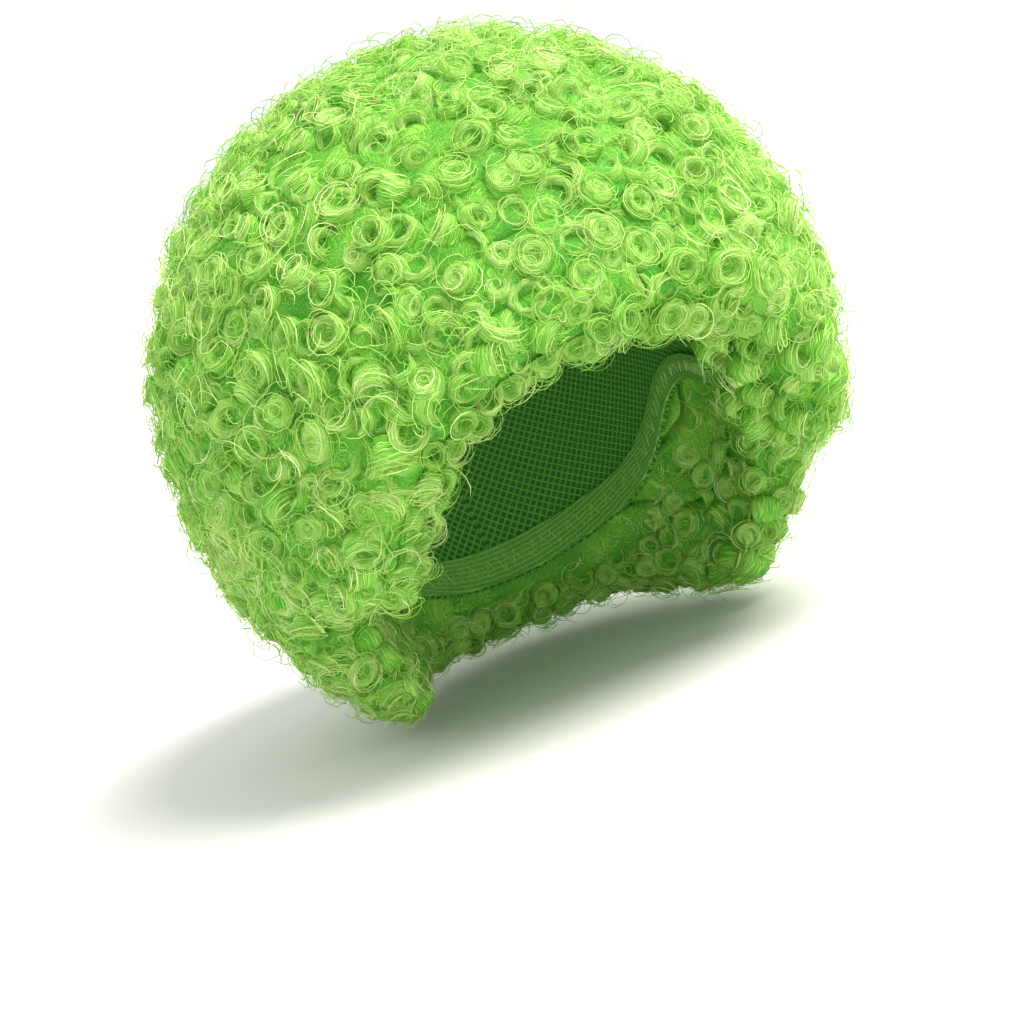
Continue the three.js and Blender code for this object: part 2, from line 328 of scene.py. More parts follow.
def scatter(spacing, lip_spacing, under_spacing, count, taken=None, from_taken=0):
    """Places on the hair's surface, no two nearer than the spacing for their row."""
    points, normals, polar, azimuth, row_numbers = hair_surface()
    across_one, across_other = points[1:, 1:] - points[:-1, :-1], points[:-1, 1:] - points[1:, :-1]
    area = np.linalg.norm(np.cross(across_one, across_other), axis=-1) / 2
    chance = (area / area.sum()).ravel()
    i, j = np.divmod(random.choice(chance.size, count, p=chance), area.shape[1])
    down, round_ = random.random((2, count))

    def blend(values):
        shape = (count,) + (1,) * (values.ndim - 2)
        p, q = down.reshape(shape), round_.reshape(shape)
        above = values[i, j] * (1 - q) + values[i, j + 1] * q
        below = values[i + 1, j] * (1 - q) + values[i + 1, j + 1] * q
        return above * (1 - p) + below * p

    spot, row = blend(points), blend(row_numbers)
    apart = np.where(row > LIP_ROW, lip_spacing, spacing)
    apart = np.where(row > UNDERSIDE_ROW, under_spacing, apart)
    kept = np.zeros(count, dtype=bool)
    for start in range(0, count, BATCH):
        batch = np.arange(start, min(start + BATCH, count))
        free = clear_of(spot[batch], spot[kept], apart[batch])
        if taken is not None:
            free &= clear_of(spot[batch], taken, np.full(len(batch), from_taken))
        for k in batch[free]:
            mates = batch[kept[batch]]
            kept[k] = clear_of(spot[k:k + 1], spot[mates], apart[k:k + 1])[0]
    level, turn = blend(polar)[kept], blend(azimuth)[kept]
    return {
        "spot": spot[kept],
        "normal": unit(blend(normals))[kept],
        "lip": row[kept] > LIP_ROW,
        "under": row[kept] > UNDERSIDE_ROW,
        "weft": weft_of(level, turn),
    }


def square_to(axis):
    """Two directions at right angles to an axis and to each other."""
    helper = np.where(np.abs(axis[:, 2:]) < STEEP, np.array([[0, 0, 1.0]]), np.array([[1.0, 0, 0]]))
    u = unit(np.cross(helper, axis))
    return u, np.cross(axis, u)


def leaned(normal, lean):
    """Directions that lean from the normals by given angles, each to a side of its own."""
    u, v = square_to(normal)
    towards = random.uniform(0, 2 * math.pi, len(normal))[:, None]
    side = u * np.cos(towards) + v * np.sin(towards)
    return unit(normal * np.cos(lean)[:, None] + side * np.sin(lean)[:, None])


def scatter_curls():
    front = scatter(FRONT_SPACING, LIP_SPACING, UNDERSIDE_SPACING, CANDIDATES)
    fill = scatter(
        FILL_SPACING, FILL_SPACING, FILL_SPACING, CANDIDATES, front["spot"], FILL_FROM_FRONT,
    )
    curls = {name: np.concatenate([front[name], fill[name]]) for name in front}
    curls["front"] = np.arange(len(curls["spot"])) < len(front["spot"])
    return curls


curls = scatter_curls()
curl_count = len(curls["spot"])
in_front, on_lip, under = curls["front"], curls["lip"], curls["under"]
curl_radius = np.where(
    in_front, random.uniform(*CURL_RADIUS, curl_count), random.uniform(*FILL_RADIUS, curl_count),
)
curl_radius = curl_radius * np.where(on_lip, LIP_RADIUS_SHARE, 1)
curl_shade = random.normal(0, SHADE_SPREAD, curl_count)


def of_kinds(kinds):
    """A random number for each curl, from the range of the kind that it falls in."""
    kind = random.random(curl_count)
    drawn = [random.uniform(low, high, curl_count) for _, low, high in kinds]
    return np.select([kind < share for share, _, _ in kinds], drawn)


# Most curls face outwards; some lie over, down to nearly side-on
curl_lean = of_kinds(LEANS)
curl_lean = np.radians(np.where(on_lip, curl_lean * LIP_LEAN_SHARE, curl_lean))

# Those of the lip at the front are turned up, so that they show their rings and overhang the edge
overhang = np.clip(-curls["spot"][:, 1] / LIP_TURNED_FROM, 0, 1) * (on_lip & ~under)
turned_up = unit(curls["spot"] - ROOM_CENTRE) * (LIP_TURNED * overhang)[:, None]
axis = leaned(unit(curls["normal"] + turned_up), curl_lean)
axis_u, axis_v = square_to(axis)

# A curl that lies over is sunk by as much as its rim would stand up
curl_sunk = np.where(
    in_front, random.uniform(*FRONT_SUNK, curl_count), random.uniform(*FILL_SUNK, curl_count),
)
curl_sunk = np.where(under, random.uniform(*UNDERSIDE_SUNK, curl_count), curl_sunk)
curl_sunk = curl_sunk - LIP_OVERHANG * overhang
lean_sunk = np.where(in_front, FRONT_LEAN_SUNK, FILL_LEAN_SUNK)
lean_sunk = np.where(under, UNDERSIDE_LEAN_SUNK, lean_sunk)
curl_sunk = curl_sunk + curl_radius * np.sin(curl_lean) * lean_sunk
curl_top = curls["spot"] - curls["normal"] * curl_sunk[:, None]

# How full a curl is: 0 for an open ring, 1 for a nest that is filled to its middle
fullness = of_kinds(FULLNESSES)

# Outline of a curl from its foot over the rim to its middle: share of the radius, then depth
OPEN_RING = np.array([
    (0.70, -0.0125),
    (0.99, -0.0070),
    (0.96, -0.0026),
    (0.78, -0.0007),
    (0.57, -0.0022),
    (0.42, -0.0060),
])
FULL_NEST = np.array([
    (0.70, -0.0125),
    (0.99, -0.0070),
    (0.95, -0.0028),
    (0.70, -0.0010),
    (0.40, -0.0006),
    (0.14, -0.0010),
])
# How light each row of the outline is: painted shade, darkest at the deep foot, lightest on the
# rim, darker again in the hollow
PAINTED_SHADE_BY_ROW = np.array([0.02, 0.12, 0.26, 0.33, 0.24, 0.12])
BODY_SHARE = 0.90
BODY_SUNK = 0.0006
FRONT_SIDES = 11
FILL_SIDES = 8
STRAND_SIDES = 3
END_TAPER = 0.35
RING_UNEVENNESS = 0.045
LEVEL_UNEVENNESS = 0.0004
FILLED_LESS_SHADE = 0.12
END_UV_RADIUS = 0.06
UV_SPREAD = 7

# Strands wound on the curls
STRAND_WIDTH = (0.00011, 0.00022)
ONE_WAY_SHARE = 0.8
RIPPLE = 0.06
RIPPLES = 3
STRAND_SHIFT = 0.0008
STRAND_TIP = 0.13
LIFT_OUT = 0.5
LIFT_UP = 0.7
# Painted shade: strands are darker the deeper they lie, by this much over this depth
PAINTED_SHADE_DEPTH = 0.012
PAINTED_SHADE_BY_DEPTH = 0.4
MOST_OVAL = 0.15

# Strands that cross a curl's hollow
CROSSING_REACH = 0.82
CROSSING_BESIDE = 0.5
CROSSING_BOW = 0.3
CROSSING_SAG = (0.0008, 0.0034)
CROSSING_SUNK = 0.0008
CROSSING_WIDTH = (0.00012, 0.00022)
CROSSING_SHADE = (0.4, 0.8)
FULL_LESS_SAG = 0.8

# Loops that have come free
LOOP_TURNS = (0.55, 1.1)
LOOP_REACH = (0.75, 1.25)
LOOP_DRIFT = 0.25
LOOP_OVAL = 0.16
LOOP_SHIFT = 0.22
LOOP_TIP = 0.28
LOOP_LEVEL = (-0.0045, -0.0004)
LOOP_RISE = 0.003
LOOP_TOP = 0.0028
LOOP_WIDTH = (0.00013, 0.00023)
LOOP_SHADE = (0.4, 0.92)

# Frizz between the curls
FRIZZ_CANDIDATES = 50000
FRIZZ_LEAN = 80
FRIZZ_TURNS = (0.35, 0.8)
FRIZZ_RADIUS = (0.0022, 0.0060)
FRIZZ_DRIFT = 0.4
FRIZZ_SUNK = (0.0004, 0.0066)
FRIZZ_WIDTH = (0.00012, 0.00022)
FRIZZ_SHADE = (0.25, 0.8)

# Material slots of the hair
FIBRE_SLOT, COIL_SLOT, DENSE_SLOT = range(3)

pieces = {
    ring: {"points": [], "faces": [], "tint": [], "uv": [], "slot": [], "smooth": []}
    for ring in range(WEFT_RINGS + 1)
}


def add_to_weft(ring, points, faces, tint, uv, slot, smooth=None):
    """Adds faces, given as lists of corners with one uv for each corner, to a weft."""
    store = pieces[ring]
    offset = sum(len(p) for p in store["points"])
    store["points"].append(points)
    store["faces"] += [part + offset for part in faces]
    store["tint"].append(tint)
    store["uv"] += uv
    store["slot"] += [np.full(len(part), slot) for part in faces]
    if smooth is None:
        store["smooth"] += [np.ones(len(part), bool) for part in faces]
    else:
        store["smooth"].append(smooth)


def repeat_faces(part, count, stride):
    """The same faces for each of several copies that follow one another in the points."""
    return (part[None] + (np.arange(count) * stride)[:, None, None]).reshape(-1, part.shape[1])


def tube_faces(length):
    """Faces of a closed three-sided strand: its sides, then its two ends."""
    sides = []
    for s in range(length - 1):
        for k in range(STRAND_SIDES):
            a, b = s * STRAND_SIDES + k, s * STRAND_SIDES + (k + 1) % STRAND_SIDES
            sides.append((b, a, a + STRAND_SIDES, b + STRAND_SIDES))
    last = (length - 1) * STRAND_SIDES
    return np.array(sides), np.array([(0, 1, 2), (last + 2, last + 1, last)])


def strands(wefts, points, up, width, tint):
    """Closed strands along rows of points, joined per weft."""
    count, length, _ = points.shape
    tangent = unit(np.gradient(points, axis=1))
    side = unit(np.cross(tangent, up[:, None, :]) + NEARLY_NOTHING)
    lift = np.cross(side, tangent)
    taper = np.ones(length)
    taper[0] = taper[-1] = END_TAPER
    w = (width[:, None] * taper)[..., None]
    corners = []
    for k in range(STRAND_SIDES):
        angle = math.pi / 2 + k * 2 * math.pi / STRAND_SIDES
        corners.append(points + (side * math.cos(angle) + lift * math.sin(angle)) * w)
    ring = np.stack(corners, axis=2)
    sides, ends = tube_faces(length)
    stride = length * STRAND_SIDES
    for number in np.unique(wefts):
        mine = wefts == number
        total = int(mine.sum())
        faces = [repeat_faces(sides, total, stride), repeat_faces(ends, total, stride)]
        spot = random.random((total, 2))
        uv = [
            np.repeat(np.repeat(spot, len(part), axis=0)[:, None, :], part.shape[1], axis=1)
            for part in (sides, ends)
        ]
        shade = np.repeat(tint[mine], STRAND_SIDES, axis=1).ravel()
        add_to_weft(number, ring[mine].reshape(-1, 3), faces, shade, uv, FIBRE_SLOT)


def in_curl(owner, x, y, z):
    """Points given along a curl's own axes, in the wig's frame."""
    return (
        curl_top[owner][:, None, :]
        + x[..., None] * axis_u[owner][:, None, :]
        + y[..., None] * axis_v[owner][:, None, :]
        + z[..., None] * axis[owner][:, None, :]
    )


def on_outline(owner, along):
    """Share of the radius and depth at places along the curls' outlines, from 0 to 1."""
    steps = np.linspace(0, 1, len(OPEN_RING))
    full = fullness[owner][:, None]
    return [
        np.interp(along, steps, OPEN_RING[:, k]) * (1 - full)
        + np.interp(along, steps, FULL_NEST[:, k]) * full
        for k in (0, 1)
    ]


def every(front_share, fill_share, under_share):
    """Indices of curls, each repeated as often as its share says, on average."""
    wanted = np.where(under, under_share, np.where(in_front, front_share, fill_share))
    times = np.floor(wanted + random.random(curl_count)).astype(int)
    return np.repeat(np.arange(curl_count), times)


def spread(low, high, count):
    return random.uniform(low, high, count)[:, None]


# Each curl's oval, shared by its body and its strands
oval = random.uniform(0.0, MOST_OVAL, curl_count)
oval_turn = random.uniform(0, math.pi, curl_count)


def swell(owner, angle):
    return 1 + oval[owner][:, None] * np.cos(2 * (angle - oval_turn[owner][:, None]))


def shade_of(owner, z, low, high):
    """Painted shade by depth: lighter towards the tips and darker deeper in, with a tone of the
    strand's own and one of the curl.
    """
    own = spread(low, high, len(owner))
    depth = np.clip(z / PAINTED_SHADE_DEPTH, -1, 0.1)
    return np.clip(own + curl_shade[owner][:, None] + depth * PAINTED_SHADE_BY_DEPTH, 0, 1)


def wound_strands(owner, segments, turns, along, drift, lift, low, high):
    """Strands wound loosely on the curls' bodies, drifting over the rim as they turn."""
    n = len(owner)
    t = np.linspace(0, 1, segments + 1)[None, :]
    sense = np.where(random.random(n) < ONE_WAY_SHARE, 1, -1)[:, None]
    angle = spread(0, 2 * math.pi, n) + 2 * math.pi * spread(*turns, n) * t * sense
    where = np.clip(spread(*along, n) + spread(-drift, drift, n) * (t - 0.5), 0, 1)
    share, z = on_outline(owner, where)
    radius = curl_radius[owner][:, None]
    ripple = spread(-RIPPLE, RIPPLE, n) * np.sin(RIPPLES * angle + spread(0, 2 * math.pi, n))
    out = spread(*lift, n)
    r = (radius * share + out * LIFT_OUT) * (swell(owner, angle) + ripple)
    shift_x, shift_y = random.normal(0, STRAND_SHIFT, (2, n, 1))
    tip_x, tip_y = random.normal(0, STRAND_TIP, (2, n, 1))
    x, y = shift_x + r * np.cos(angle), shift_y + r * np.sin(angle)
    z = z + out * LIFT_UP + tip_x * x + tip_y * y
    points = in_curl(owner, x, y, z)
    width = random.uniform(*STRAND_WIDTH, n)
    strands(curls["weft"][owner], points, axis[owner], width, shade_of(owner, z, low, high))


def crossing_strands(owner, segments):
    """Strands that cross a curl's hollow from rim to rim."""
    n = len(owner)
    t = np.linspace(-1, 1, segments + 1)[None, :]
    radius = curl_radius[owner][:, None]
    turn = spread(0, math.pi, n)
    beside = spread(-CROSSING_BESIDE, CROSSING_BESIDE, n)
    beside = beside + spread(-CROSSING_BOW, CROSSING_BOW, n) * (1 - t**2)
    px, py = t * CROSSING_REACH * radius, beside * radius
    x = px * np.cos(turn) - py * np.sin(turn)
    y = px * np.sin(turn) + py * np.cos(turn)
    sag = spread(*CROSSING_SAG, n) * (1 - fullness[owner][:, None] * FULL_LESS_SAG)
    z = -CROSSING_SUNK - sag * (1 - t**2) + spread(-CROSSING_SUNK, CROSSING_SUNK, n) * t
    points = in_curl(owner, x, y, z)
    width = random.uniform(*CROSSING_WIDTH, n)
    shade = shade_of(owner, z, *CROSSING_SHADE)
    strands(curls["weft"][owner], points, axis[owner], width, shade)


def loose_loops(owner, segments):
    """Single loops that have come free of their curl, wider than it and aslant."""
    n = len(owner)
    t = np.linspace(0, 1, segments + 1)[None, :]
    angle = spread(0, 2 * math.pi, n) + 2 * math.pi * spread(*LOOP_TURNS, n) * t
    radius = curl_radius[owner][:, None]
    r = radius * (spread(*LOOP_REACH, n) + spread(-LOOP_DRIFT, LOOP_DRIFT, n) * (t - 0.5))
    r = r * (1 + spread(0, LOOP_OVAL, n) * np.cos(2 * angle + spread(0, 2 * math.pi, n)))
    shift_x, shift_y = radius * random.normal(0, LOOP_SHIFT, (2, n, 1))
    tip_x, tip_y = random.normal(0, LOOP_TIP, (2, n, 1))
    x, y = shift_x + r * np.cos(angle), shift_y + r * np.sin(angle)
    z = spread(*LOOP_LEVEL, n) + spread(-LOOP_RISE, LOOP_RISE, n) * (t - 0.5)
    z = np.minimum(z + tip_x * x + tip_y * y, LOOP_TOP)
    points = in_curl(owner, x, y, z)
    width = random.uniform(*LOOP_WIDTH, n)
    shade = shade_of(owner, z, *LOOP_SHADE)
    strands(curls["weft"][owner], points, axis[owner], width, shade)


def frizz(count, segments):
    """Short arcs of hair in the gaps between the curls."""
    spots = scatter(FRIZZ_SPACING, FRIZZ_SPACING, FRIZZ_SPACING, count)
    n = len(spots["spot"])
    facing = leaned(spots["normal"], np.radians(random.uniform(0, FRIZZ_LEAN, n)))
    u, v = square_to(facing)
    t = np.linspace(0, 1, segments + 1)[None, :]
    angle = spread(0, 2 * math.pi, n) + 2 * math.pi * spread(*FRIZZ_TURNS, n) * t
    r = spread(*FRIZZ_RADIUS, n) * (1 + spread(-FRIZZ_DRIFT, FRIZZ_DRIFT, n) * (t - 0.5))
    middle = spots["spot"] - spots["normal"] * spread(*FRIZZ_SUNK, n)
    points = (
        middle[:, None, :]
        + (r * np.cos(angle))[..., None] * u[:, None, :]
        + (r * np.sin(angle))[..., None] * v[:, None, :]
    )
    width = random.uniform(*FRIZZ_WIDTH, n)
    shade = np.repeat(spread(*FRIZZ_SHADE, n), segments + 1, axis=1)
    strands(spots["weft"], points, facing, width, shade)


def curl_bodies(owner, curl_sides):
    """Body of each curl: a cup or a dome, its faces striped along the turns."""
    rows = len(OPEN_RING)
    count = len(owner)
    angle = np.arange(curl_sides) / curl_sides * 2 * math.pi
    rings = []
    tints = []
    for row, step in enumerate(np.linspace(0, 1, rows)):
        share, z = on_outline(owner, np.full((count, curl_sides), step))
        r = curl_radius[owner][:, None] * share * BODY_SHARE * swell(owner, angle[None])
        r = r * (1 + random.normal(0, RING_UNEVENNESS, (count, curl_sides)))
        z = z - BODY_SUNK + random.normal(0, LEVEL_UNEVENNESS, (count, curl_sides))
        rings.append(in_curl(owner, r * np.cos(angle), r * np.sin(angle), z))
        # A filled nest's middle stands higher, so it gets less painted shade
        filled = FILLED_LESS_SHADE * fullness[owner] if row >= rows - 2 else 0
        own = PAINTED_SHADE_BY_ROW[row] + curl_shade[owner] + filled
        tints.append(np.repeat(own[:, None], curl_sides, axis=1))
    points = np.concatenate(rings, axis=1)
    tint = np.clip(np.concatenate(tints, axis=1), 0, 1)
    sides, side_uv = [], []
    for k in range(curl_sides):
        for row in range(rows - 1):
            a, b = row * curl_sides + k, row * curl_sides + (k + 1) % curl_sides
            sides.append((a, b, b + curl_sides, a + curl_sides))
            corners = ((k, row), (k + 1, row), (k + 1, row + 1), (k, row + 1))
            side_uv.append([(c / curl_sides, r / rows) for c, r in corners])
    foot = np.array([range(curl_sides - 1, -1, -1)])
    middle = np.array([range(curl_sides)]) + (rows - 1) * curl_sides
    disc = np.stack([np.cos(angle), np.sin(angle)], axis=-1)[None] * END_UV_RADIUS
    parts = [np.array(sides), foot, middle]
    uvs = [np.array(side_uv), disc, disc + 0.5]
    stride = points.shape[1]
    wefts = curls["weft"][owner]
    for number in np.unique(wefts):
        mine = np.flatnonzero(wefts == number)
        shift = random.random((len(mine), 1, 1, 2)) * UV_SPREAD
        faces = [repeat_faces(part, len(mine), stride) for part in parts]
        uv = [(one[None] + shift).reshape(-1, one.shape[1], 2) for one in uvs]
        corners = points[mine].reshape(-1, 3)
        add_to_weft(number, corners, faces, tint[mine].ravel(), uv, COIL_SLOT)


fully_made = in_front & ~under
curl_bodies(np.flatnonzero(fully_made), FRONT_SIDES)
curl_bodies(np.flatnonzero(~fully_made), FILL_SIDES)
wound_strands(
    every(front_share=5.8, fill_share=2.3, under_share=2.6), segments=10, turns=(0.55, 1.0),
    along=(0.36, 0.96), drift=0.3, lift=(0.0, 0.0020), low=0.42, high=1.0,
)
wound_strands(
    every(front_share=1.6, fill_share=0.7, under_share=0.6), segments=8, turns=(0.45, 0.8),
    along=(0.10, 0.5), drift=0.2, lift=(0.0, 0.0016), low=0.3, high=0.9,
)
crossing_strands(every(front_share=1.6, fill_share=0.3, under_share=0.3), segments=6)
loose_loops(every(front_share=1.35, fill_share=0.5, under_share=0.5), segments=11)
frizz(FRIZZ_CANDIDATES, segments=5)

# Dense hair under the curls, one closed ring per weft
BODY_STEP = 0.0055
BODY_ROWS = 6
BODY_DEPTH = 0.0084
BODY_INSIDE = 0.0004
UNDERSIDE_DEPTH = 0.0062
LEAST_BODY = 0.0016
BODY_ABOVE_EDGE = math.radians(3.6)
BODY_FLUSH = math.radians(1.4)
BODY_RECEDES = math.radians(2.5)
FEWEST_SIDES = 24
CROWN_OPENING = 0.02
DENSE_UNEVENNESS = 0.0011
DENSE_LIMITS = (-0.0015, 0.002)
DENSE_TINT = 0.1


def body_sides(number):
    polar = (SHARES[number] + SHARES[number + 1]) / 2 * hair_edge(math.pi / 2)
    around = 2 * math.pi * math.sin(polar) * float(hair_reach(polar, math.pi / 2))
    return max(FEWEST_SIDES, round(around / BODY_STEP))


def body_inside(polar, azimuth):
    """Inner face of the dense hair: on the cap, and past its edge under the lowest curls."""
    past = np.clip((polar - cap_edge(azimuth) - BODY_FLUSH) / BODY_RECEDES, 0, 1)
    return hair_underside(polar, azimuth) + BODY_INSIDE + (UNDERSIDE_DEPTH - BODY_INSIDE) * past


def dense_hair(number):
    sides = body_sides(number)
    azimuth = np.arange(sides) / sides * 2 * math.pi
    top, bottom = boundary_angle(number, azimuth), boundary_angle(number + 1, azimuth)
    if number == WEFT_RINGS:
        bottom = bottom - BODY_ABOVE_EDGE
    shares = np.linspace(0 if number else CROWN_OPENING, 1, BODY_ROWS)
    rows = []
    for share in shares:
        polar = top + (bottom - top) * share
        inside = body_inside(polar, azimuth)
        level = np.maximum(hair_reach(polar, azimuth) - BODY_DEPTH, inside + LEAST_BODY)
        if 0 < share < 1:
            level = level + random.normal(0, DENSE_UNEVENNESS, sides).clip(*DENSE_LIMITS)
        rows.append((polar, level))
    for share in shares[::-1]:
        polar = top + (bottom - top) * share
        rows.append((polar, body_inside(polar, azimuth)))
    points = np.concatenate([place(polar, azimuth, radius) for polar, radius in rows])
    faces = []
    for row in range(len(rows)):
        below = (row + 1) % len(rows)
        for k in range(sides):
            m = (k + 1) % sides
            faces.append((row * sides + k, below * sides + k, below * sides + m, row * sides + m))
    faces = np.array(faces)
    uv = np.zeros((len(faces), 4, 2))
    row = np.arange(len(faces)) // sides
    smooth = (row != BODY_ROWS - 1) & (row != len(rows) - 1)
    add_to_weft(number, points, [faces], np.full(len(points), DENSE_TINT), [uv], DENSE_SLOT, smooth)


for number in range(WEFT_RINGS + 1):
    dense_hair(number)


# Colours from the darkest hair to the lightest, by tint; the tint holds each strand's own tone and
# painted shade by depth
FIBRE_STOPS = [
    (0.0, (0.066, 0.380, 0.016)),
    (0.3, (0.190, 0.545, 0.040)),
    (0.55, (0.380, 0.710, 0.108)),
    (0.8, (0.610, 0.860, 0.240)),
    (1.0, (0.820, 0.970, 0.460)),
]


def new_material(name):
    material = bpy.data.materials.new(name)
    material.use_nodes = True
    tree = material.node_tree
    return material, tree.nodes, tree.links, tree.nodes["Principled BSDF"]


def coloured(nodes, links, shader, value, stops):
    """Colours a surface by a value, with a ramp through the stops."""
    ramp = nodes.new("ShaderNodeValToRGB")
    elements = ramp.color_ramp.elements
    elements.remove(elements[-1])
    elements[0].position = stops[0][0]
    elements[0].color = (*stops[0][1], 1)
    for position, colour in stops[1:]:
        elements.new(position).color = (*colour, 1)
    links.new(value, ramp.inputs["Fac"])
    links.new(ramp.outputs["Color"], shader.inputs["Base Color"])


def raised(nodes, links, shader, height, strength, distance):
    """Lets a height show in how the surface takes the light."""
    bump = nodes.new("ShaderNodeBump")
    bump.inputs["Strength"].default_value = strength
    bump.inputs["Distance"].default_value = distance
    links.new(height, bump.inputs["Height"])
    links.new(bump.outputs["Normal"], shader.inputs["Normal"])
    return bump


def noise_at(nodes, links, place_on, scale, detail=2.0, dimensions="3D"):
    noise = nodes.new("ShaderNodeTexNoise")
    noise.noise_dimensions = dimensions
    noise.inputs["Scale"].default_value = scale
    noise.inputs["Detail"].default_value = detail
    links.new(place_on, noise.inputs["Vector"])
    return noise


def turned(nodes, links, place_on, angles, scale):
    """A texture's place, turned by angles in degrees and scaled."""
    mapping = nodes.new("ShaderNodeMapping")
    mapping.inputs["Rotation"].default_value = [math.radians(angle) for angle in angles]
    mapping.inputs["Scale"].default_value = scale
    links.new(place_on, mapping.inputs["Vector"])
    return mapping.outputs["Vector"]


def bent(nodes, links, place_on, noise, depth):
    """A texture's place, pushed about by a coarse noise."""
    push = nodes.new("ShaderNodeVectorMath")
    push.operation = "MULTIPLY_ADD"
    push.inputs[1].default_value = depth
    links.new(noise.outputs["Color"], push.inputs[0])
    links.new(place_on, push.inputs[2])
    return push.outputs["Vector"]


def worked_out(nodes, links, operation, *values):
    step = nodes.new("ShaderNodeMath")
    step.operation = operation
    for value, socket in zip(values, step.inputs):
        links.new(value, socket)
    return step.outputs["Value"]


def strongest(nodes, links, values):
    """The highest of several textures' values at each place."""
    highest = values[0]
    for value in values[1:]:
        highest = worked_out(nodes, links, "MAXIMUM", highest, value)
    return highest


def tint_of(nodes):
    tint = nodes.new("ShaderNodeAttribute")
    tint.attribute_name = "tint"
    return tint.outputs["Fac"]


def laid_out(nodes, layer):
    uv = nodes.new("ShaderNodeUVMap")
    uv.uv_map = layer
    return uv.outputs["UV"]


def fibre_material():
    material, nodes, links, shader = new_material("hair_fibre")
    coloured(nodes, links, shader, tint_of(nodes), FIBRE_STOPS)
    shader.inputs["Roughness"].default_value = 0.42
    shader.inputs["Specular IOR Level"].default_value = 0.3
    return material


# Fibres drawn on a curl: how far they waver, then the turn in degrees and number of each lot
COIL_BEND = (0.09, 0.09, 0.0)
COIL_FIBRES = ((7, 84.0), (-20, 100.0), (36, 92.0))
ALONG_FIBRE = 3.0


def coil_material():
    """Surface of a curl's body, drawn with fibres that run round it."""
    material, nodes, links, shader = new_material("hair_coil")
    flat = laid_out(nodes, "along_fibre")
    waver = noise_at(nodes, links, flat, 5.0, dimensions="2D")
    wavering = bent(nodes, links, flat, waver, COIL_BEND)
    fibres = []
    for angle, number in COIL_FIBRES:
        lot = turned(nodes, links, wavering, (0, 0, angle), (ALONG_FIBRE, number, 1.0))
        fibres.append(noise_at(nodes, links, lot, 1.0, dimensions="2D").outputs["Fac"])
    lightest = strongest(nodes, links, fibres)
    stripes = nodes.new("ShaderNodeMapRange")
    stripes.inputs["From Min"].default_value = 0.50
    stripes.inputs["From Max"].default_value = 0.70
    stripes.inputs["To Min"].default_value = -0.26
    stripes.inputs["To Max"].default_value = 0.58
    links.new(lightest, stripes.inputs["Value"])
    tint = worked_out(nodes, links, "ADD", tint_of(nodes), stripes.outputs["Result"])
    coloured(nodes, links, shader, tint, FIBRE_STOPS)
    raised(nodes, links, shader, lightest, strength=0.8, distance=0.0006)
    shader.inputs["Roughness"].default_value = 0.5
    shader.inputs["Specular IOR Level"].default_value = 0.3
    return material


# Strands of the dense hair: how far they swirl, the turns of each lot, how fine and how long
SWIRL = (0.024, 0.024, 0.024)
DENSE_TURNS = ((15, 60, 10), (70, -25, 50), (-40, 20, 95))
DENSE_STRANDS = (2100.0, 2100.0, 150.0)
# Colours of the dense hair, darker than the strands' as painted shade deep between the curls
DENSE_PAINTED_SHADE_STOPS = [
    (0.64, (0.052, 0.290, 0.022)),
    (0.77, (0.140, 0.450, 0.038)),
    (0.92, (0.360, 0.680, 0.095)),
]


def dense_hair_material():
    """Hair seen deep between the curls: fine strands that lie in swirls, in darker colours that are
    painted shade.
    """
    material, nodes, links, shader = new_material("dense_hair")
    where = nodes.new("ShaderNodeTexCoord").outputs["Object"]
    swirl = noise_at(nodes, links, where, 70.0, detail=0.0)
    swirled = bent(nodes, links, where, swirl, SWIRL)
    lots = []
    for angles in DENSE_TURNS:
        lot = turned(nodes, links, swirled, angles, DENSE_STRANDS)
        lots.append(noise_at(nodes, links, lot, 1.0, detail=1.0).outputs["Fac"])
    nearest = strongest(nodes, links, lots)
    patches = nodes.new("ShaderNodeMath")
    patches.operation = "MULTIPLY_ADD"
    patches.inputs[1].default_value = 0.30
    links.new(swirl.outputs["Fac"], patches.inputs[0])
    links.new(nearest, patches.inputs[2])
    coloured(nodes, links, shader, patches.outputs["Value"], DENSE_PAINTED_SHADE_STOPS)
    raised(nodes, links, shader, nearest, strength=0.5, distance=0.0006)
    shader.inputs["Roughness"].default_value = 0.6
    shader.inputs["Specular IOR Level"].default_value = 0.2
    return material


hair_materials = [fibre_material(), coil_material(), dense_hair_material()]


def make_weft(number):
    store = pieces[number]
    points = np.concatenate(store["points"])
    faces = [face for part in store["faces"] for face in part.tolist()]
    uv = np.concatenate([one.reshape(-1, 2) for one in store["uv"]])
    node = WEFT_NODES[number]
    mesh = bpy.data.meshes.new(f"{node}_curls")
    mesh.from_pydata(points.tolist(), [], faces)
    mesh.polygons.foreach_set("use_smooth", np.concatenate(store["smooth"]))
    mesh.polygons.foreach_set("material_index", np.concatenate(store["slot"]).astype(np.int32))
    tint = mesh.attributes.new("tint", "FLOAT", "POINT")
    tint.data.foreach_set("value", np.concatenate(store["tint"]).astype(np.float32))
    layer = mesh.uv_layers.new(name="along_fibre")
    layer.data.foreach_set("uv", uv.astype(np.float32).ravel())
    for material in hair_materials:
        mesh.materials.append(material)
    mesh.update()
    piece = bpy.data.objects.new(f"{node}_curls", mesh)
    scene.collection.objects.link(piece)
    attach(piece, "root")
    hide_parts(node)


for number in range(WEFT_RINGS + 1):
    make_weft(number)

